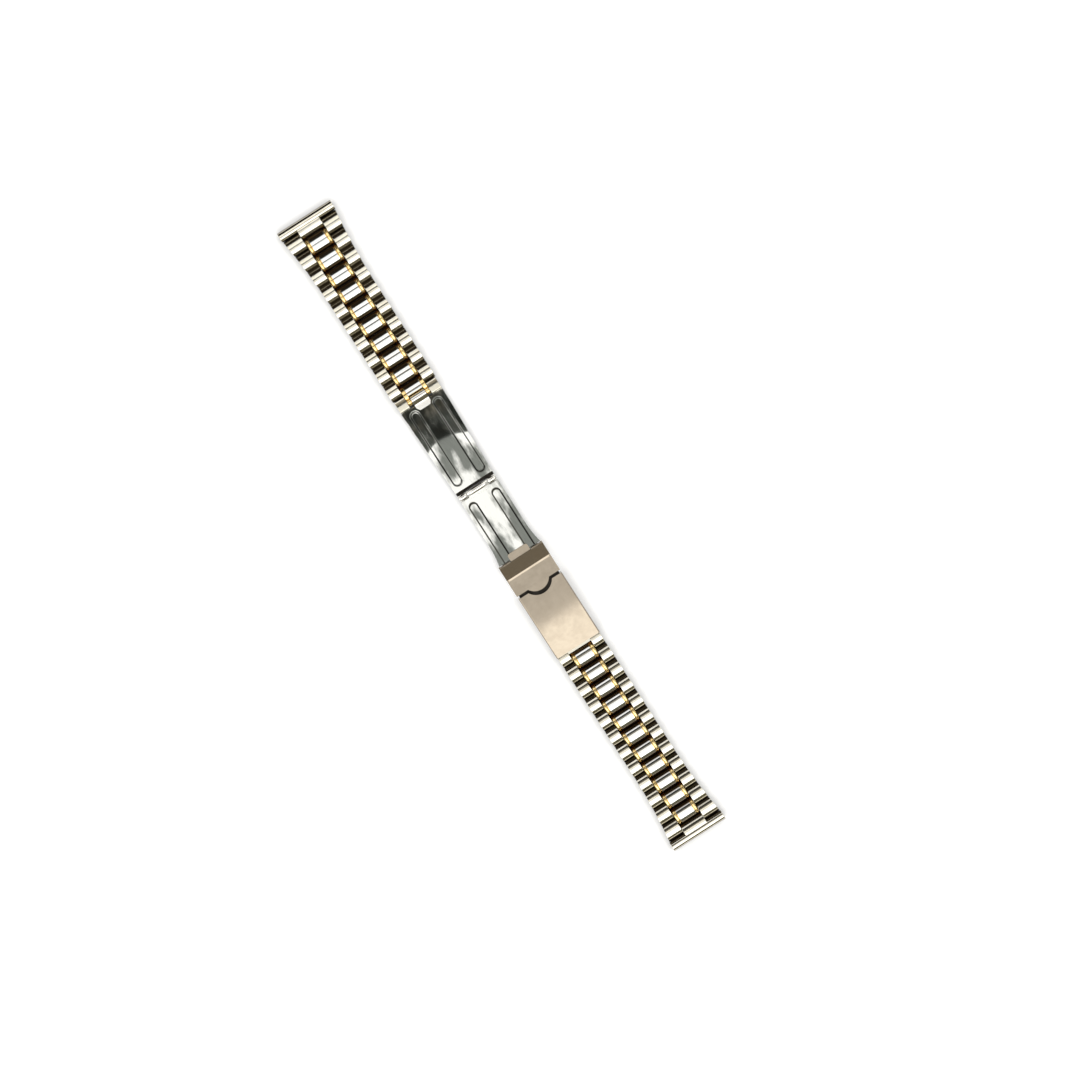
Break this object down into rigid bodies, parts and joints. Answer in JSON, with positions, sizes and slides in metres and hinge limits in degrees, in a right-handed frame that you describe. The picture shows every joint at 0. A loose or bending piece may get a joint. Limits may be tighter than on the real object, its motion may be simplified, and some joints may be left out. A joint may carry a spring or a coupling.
{
  "type": "watch bracelet",
  "caption": "Two-tone steel link watch bracelet with domed links, gold-edged centre links and a fold-over clasp with a safety flap, lying open and flat.",
  "frame": {"origin": "middle of the open bracelet's length and width, on the surface it lies on", "axes": "+X along the open bracelet from the strand on the clasp's long leaf to the strand on its cover, +Y across it, +Z out of its outer face"},
  "size_m": [0.214, 0.018, 0.0044],
  "materials": {
    "satin_steel": "satin, lightly brushed across the links",
    "bright_steel": "fine satin",
    "two_tone_centre": "mirror-polished steel cap over a core of gold-plated steel",
    "gold_plate": "polished yellow gold plate",
    "mirror_steel": "mirror-polished, with hairline scratches",
    "brushed_clasp": "brushed across, satin",
    "pin_steel": "turned"
  },
  "bodies": {
    "cover": {"clasp_cover": "brushed_clasp", "bar_barrel": "pin_steel", "bar_plungers": "pin_steel", "bar_spring": "pin_steel"},
    "inner_leaf": {"short_leaf": "mirror_steel", "cover_hinge_pin": "pin_steel"},
    "outer_leaf": {"long_leaf": "mirror_steel", "mid_hinge_pin": "pin_steel"},
    "flap": {"safety_flap": "brushed_clasp", "flap_pivot_pins": "pin_steel"},
    "adapter": {"strand_adapter": "satin_steel"},
    "fork": {"fork_link": "two_tone_centre", "connector_caps": "satin_steel", "connecting_pin": "pin_steel"},
    "outer_a10": {"outer_row_a10": "satin_steel"},
    "centre_a09": {"centre_link_a09": "two_tone_centre"},
    "outer_a09": {"outer_row_a09": "satin_steel"},
    "centre_a08": {"centre_link_a08": "two_tone_centre"},
    "outer_a08": {"outer_row_a08": "satin_steel"},
    "centre_a07": {"centre_link_a07": "two_tone_centre"},
    "outer_a07": {"outer_row_a07": "satin_steel"},
    "centre_a06": {"centre_link_a06": "two_tone_centre"},
    "outer_a06": {"outer_row_a06": "satin_steel"},
    "centre_a05": {"centre_link_a05": "two_tone_centre"},
    "outer_a05": {"outer_row_a05": "satin_steel"},
    "centre_a04": {"centre_link_a04": "two_tone_centre"},
    "outer_a04": {"outer_row_a04": "satin_steel"},
    "centre_a03": {"centre_link_a03": "two_tone_centre"},
    "outer_a03": {"outer_row_a03": "satin_steel"},
    "centre_a02": {"centre_link_a02": "two_tone_centre"},
    "outer_a02": {"outer_row_a02": "satin_steel"},
    "centre_a01": {"centre_link_a01": "two_tone_centre"},
    "outer_a01": {"outer_row_a01": "satin_steel"},
    "end_a": {"end_tube_a": "bright_steel"},
    "centre_b11": {"centre_link_b11": "two_tone_centre"},
    "outer_b11": {"outer_row_b11": "satin_steel"},
    "centre_b10": {"centre_link_b10": "two_tone_centre"},
    "outer_b10": {"outer_row_b10": "satin_steel"},
    "centre_b09": {"centre_link_b09": "two_tone_centre"},
    "outer_b09": {"outer_row_b09": "satin_steel"},
    "centre_b08": {"centre_link_b08": "two_tone_centre"},
    "outer_b08": {"outer_row_b08": "satin_steel"},
    "centre_b07": {"centre_link_b07": "two_tone_centre"},
    "outer_b07": {"outer_row_b07": "satin_steel"},
    "centre_b06": {"centre_link_b06": "two_tone_centre"},
    "outer_b06": {"outer_row_b06": "satin_steel"},
    "centre_b05": {"centre_link_b05": "two_tone_centre"},
    "outer_b05": {"outer_row_b05": "satin_steel"},
    "centre_b04": {"centre_link_b04": "two_tone_centre"},
    "outer_b04": {"outer_row_b04": "satin_steel"},
    "centre_b03": {"centre_link_b03": "two_tone_centre"},
    "outer_b03": {"outer_row_b03": "satin_steel"},
    "centre_b02": {"centre_link_b02": "two_tone_centre"},
    "outer_b02": {"outer_row_b02": "satin_steel"},
    "centre_b01": {"centre_link_b01": "two_tone_centre"},
    "outer_b01": {"outer_row_b01": "satin_steel"},
    "end_b": {"end_tube_b": "bright_steel"}
  },
  "joints": [
    {"name": "clasp_fold", "type": "hinge", "parent": "cover", "child": "inner_leaf", "pos_m": [0.01015, 0, 0.0021], "axis": [0, -1, 0], "range_deg": [0, 180]},
    {"name": "leaf_fold", "type": "hinge", "parent": "inner_leaf", "child": "outer_leaf", "pos_m": [-0.01525, 0, 0.0021], "axis": [0, 1, 0], "range_deg": [0, 180]},
    {"name": "flap_lift", "type": "hinge", "parent": "cover", "child": "flap", "pos_m": [0.0081, 0, 0.00295], "axis": [0, -1, 0], "range_deg": [0, 100]},
    {"name": "adapter_turn", "type": "hinge", "parent": "cover", "child": "adapter", "pos_m": [0.03795, 0, 0.0013], "axis": [0, 1, 0], "range_deg": [-5, 12]},
    {"name": "fork_turn", "type": "hinge", "parent": "outer_leaf", "child": "fork", "pos_m": [-0.04665, 0, 0.0013], "axis": [0, -1, 0], "range_deg": [-8, 12]},
    {"name": "bend_a19", "type": "hinge", "parent": "fork", "child": "outer_a10", "pos_m": [-0.05021, 0, 0.0011], "axis": [0, -1, 0], "range_deg": [-4, 12]},
    {"name": "bend_a18", "type": "hinge", "parent": "outer_a10", "child": "centre_a09", "pos_m": [-0.05299, 0, 0.0011], "axis": [0, -1, 0], "range_deg": [-4, 12]},
    {"name": "bend_a17", "type": "hinge", "parent": "centre_a09", "child": "outer_a09", "pos_m": [-0.05576, 0, 0.0011], "axis": [0, -1, 0], "range_deg": [-4, 12]},
    {"name": "bend_a16", "type": "hinge", "parent": "outer_a09", "child": "centre_a08", "pos_m": [-0.05854, 0, 0.0011], "axis": [0, -1, 0], "range_deg": [-4, 12]},
    {"name": "bend_a15", "type": "hinge", "parent": "centre_a08", "child": "outer_a08", "pos_m": [-0.06131, 0, 0.0011], "axis": [0, -1, 0], "range_deg": [-4, 12]},
    {"name": "bend_a14", "type": "hinge", "parent": "outer_a08", "child": "centre_a07", "pos_m": [-0.06409, 0, 0.0011], "axis": [0, -1, 0], "range_deg": [-4, 12]},
    {"name": "bend_a13", "type": "hinge", "parent": "centre_a07", "child": "outer_a07", "pos_m": [-0.06686, 0, 0.0011], "axis": [0, -1, 0], "range_deg": [-4, 12]},
    {"name": "bend_a12", "type": "hinge", "parent": "outer_a07", "child": "centre_a06", "pos_m": [-0.06964, 0, 0.0011], "axis": [0, -1, 0], "range_deg": [-4, 12]},
    {"name": "bend_a11", "type": "hinge", "parent": "centre_a06", "child": "outer_a06", "pos_m": [-0.07241, 0, 0.0011], "axis": [0, -1, 0], "range_deg": [-4, 12]},
    {"name": "bend_a10", "type": "hinge", "parent": "outer_a06", "child": "centre_a05", "pos_m": [-0.07519, 0, 0.0011], "axis": [0, -1, 0], "range_deg": [-4, 12]},
    {"name": "bend_a09", "type": "hinge", "parent": "centre_a05", "child": "outer_a05", "pos_m": [-0.07796, 0, 0.0011], "axis": [0, -1, 0], "range_deg": [-4, 12]},
    {"name": "bend_a08", "type": "hinge", "parent": "outer_a05", "child": "centre_a04", "pos_m": [-0.08074, 0, 0.0011], "axis": [0, -1, 0], "range_deg": [-4, 12]},
    {"name": "bend_a07", "type": "hinge", "parent": "centre_a04", "child": "outer_a04", "pos_m": [-0.08351, 0, 0.0011], "axis": [0, -1, 0], "range_deg": [-4, 12]},
    {"name": "bend_a06", "type": "hinge", "parent": "outer_a04", "child": "centre_a03", "pos_m": [-0.08629, 0, 0.0011], "axis": [0, -1, 0], "range_deg": [-4, 12]},
    {"name": "bend_a05", "type": "hinge", "parent": "centre_a03", "child": "outer_a03", "pos_m": [-0.08906, 0, 0.0011], "axis": [0, -1, 0], "range_deg": [-4, 12]},
    {"name": "bend_a04", "type": "hinge", "parent": "outer_a03", "child": "centre_a02", "pos_m": [-0.09184, 0, 0.0011], "axis": [0, -1, 0], "range_deg": [-4, 12]},
    {"name": "bend_a03", "type": "hinge", "parent": "centre_a02", "child": "outer_a02", "pos_m": [-0.09461, 0, 0.0011], "axis": [0, -1, 0], "range_deg": [-4, 12]},
    {"name": "bend_a02", "type": "hinge", "parent": "outer_a02", "child": "centre_a01", "pos_m": [-0.09739, 0, 0.0011], "axis": [0, -1, 0], "range_deg": [-4, 12]},
    {"name": "bend_a01", "type": "hinge", "parent": "centre_a01", "child": "outer_a01", "pos_m": [-0.10016, 0, 0.0011], "axis": [0, -1, 0], "range_deg": [-4, 12]},
    {"name": "bend_a00", "type": "hinge", "parent": "outer_a01", "child": "end_a", "pos_m": [-0.10294, 0, 0.0011], "axis": [0, -1, 0], "range_deg": [-4, 12]},
    {"name": "bend_b22", "type": "hinge", "parent": "adapter", "child": "centre_b11", "pos_m": [0.04189, 0, 0.0011], "axis": [0, 1, 0], "range_deg": [-4, 12]},
    {"name": "bend_b21", "type": "hinge", "parent": "centre_b11", "child": "outer_b11", "pos_m": [0.04466, 0, 0.0011], "axis": [0, 1, 0], "range_deg": [-4, 12]},
    {"name": "bend_b20", "type": "hinge", "parent": "outer_b11", "child": "centre_b10", "pos_m": [0.04744, 0, 0.0011], "axis": [0, 1, 0], "range_deg": [-4, 12]},
    {"name": "bend_b19", "type": "hinge", "parent": "centre_b10", "child": "outer_b10", "pos_m": [0.05021, 0, 0.0011], "axis": [0, 1, 0], "range_deg": [-4, 12]},
    {"name": "bend_b18", "type": "hinge", "parent": "outer_b10", "child": "centre_b09", "pos_m": [0.05299, 0, 0.0011], "axis": [0, 1, 0], "range_deg": [-4, 12]},
    {"name": "bend_b17", "type": "hinge", "parent": "centre_b09", "child": "outer_b09", "pos_m": [0.05576, 0, 0.0011], "axis": [0, 1, 0], "range_deg": [-4, 12]},
    {"name": "bend_b16", "type": "hinge", "parent": "outer_b09", "child": "centre_b08", "pos_m": [0.05854, 0, 0.0011], "axis": [0, 1, 0], "range_deg": [-4, 12]},
    {"name": "bend_b15", "type": "hinge", "parent": "centre_b08", "child": "outer_b08", "pos_m": [0.06131, 0, 0.0011], "axis": [0, 1, 0], "range_deg": [-4, 12]},
    {"name": "bend_b14", "type": "hinge", "parent": "outer_b08", "child": "centre_b07", "pos_m": [0.06409, 0, 0.0011], "axis": [0, 1, 0], "range_deg": [-4, 12]},
    {"name": "bend_b13", "type": "hinge", "parent": "centre_b07", "child": "outer_b07", "pos_m": [0.06686, 0, 0.0011], "axis": [0, 1, 0], "range_deg": [-4, 12]},
    {"name": "bend_b12", "type": "hinge", "parent": "outer_b07", "child": "centre_b06", "pos_m": [0.06964, 0, 0.0011], "axis": [0, 1, 0], "range_deg": [-4, 12]},
    {"name": "bend_b11", "type": "hinge", "parent": "centre_b06", "child": "outer_b06", "pos_m": [0.07241, 0, 0.0011], "axis": [0, 1, 0], "range_deg": [-4, 12]},
    {"name": "bend_b10", "type": "hinge", "parent": "outer_b06", "child": "centre_b05", "pos_m": [0.07519, 0, 0.0011], "axis": [0, 1, 0], "range_deg": [-4, 12]},
    {"name": "bend_b09", "type": "hinge", "parent": "centre_b05", "child": "outer_b05", "pos_m": [0.07796, 0, 0.0011], "axis": [0, 1, 0], "range_deg": [-4, 12]},
    {"name": "bend_b08", "type": "hinge", "parent": "outer_b05", "child": "centre_b04", "pos_m": [0.08074, 0, 0.0011], "axis": [0, 1, 0], "range_deg": [-4, 12]},
    {"name": "bend_b07", "type": "hinge", "parent": "centre_b04", "child": "outer_b04", "pos_m": [0.08351, 0, 0.0011], "axis": [0, 1, 0], "range_deg": [-4, 12]},
    {"name": "bend_b06", "type": "hinge", "parent": "outer_b04", "child": "centre_b03", "pos_m": [0.08629, 0, 0.0011], "axis": [0, 1, 0], "range_deg": [-4, 12]},
    {"name": "bend_b05", "type": "hinge", "parent": "centre_b03", "child": "outer_b03", "pos_m": [0.08906, 0, 0.0011], "axis": [0, 1, 0], "range_deg": [-4, 12]},
    {"name": "bend_b04", "type": "hinge", "parent": "outer_b03", "child": "centre_b02", "pos_m": [0.09184, 0, 0.0011], "axis": [0, 1, 0], "range_deg": [-4, 12]},
    {"name": "bend_b03", "type": "hinge", "parent": "centre_b02", "child": "outer_b02", "pos_m": [0.09461, 0, 0.0011], "axis": [0, 1, 0], "range_deg": [-4, 12]},
    {"name": "bend_b02", "type": "hinge", "parent": "outer_b02", "child": "centre_b01", "pos_m": [0.09739, 0, 0.0011], "axis": [0, 1, 0], "range_deg": [-4, 12]},
    {"name": "bend_b01", "type": "hinge", "parent": "centre_b01", "child": "outer_b01", "pos_m": [0.10016, 0, 0.0011], "axis": [0, 1, 0], "range_deg": [-4, 12]},
    {"name": "bend_b00", "type": "hinge", "parent": "outer_b01", "child": "end_b", "pos_m": [0.10294, 0, 0.0011], "axis": [0, 1, 0], "range_deg": [-4, 12]}
  ],
  "couplings": [
    {"joint": "leaf_fold", "follows": "clasp_fold", "ratio": 1}
  ]
}
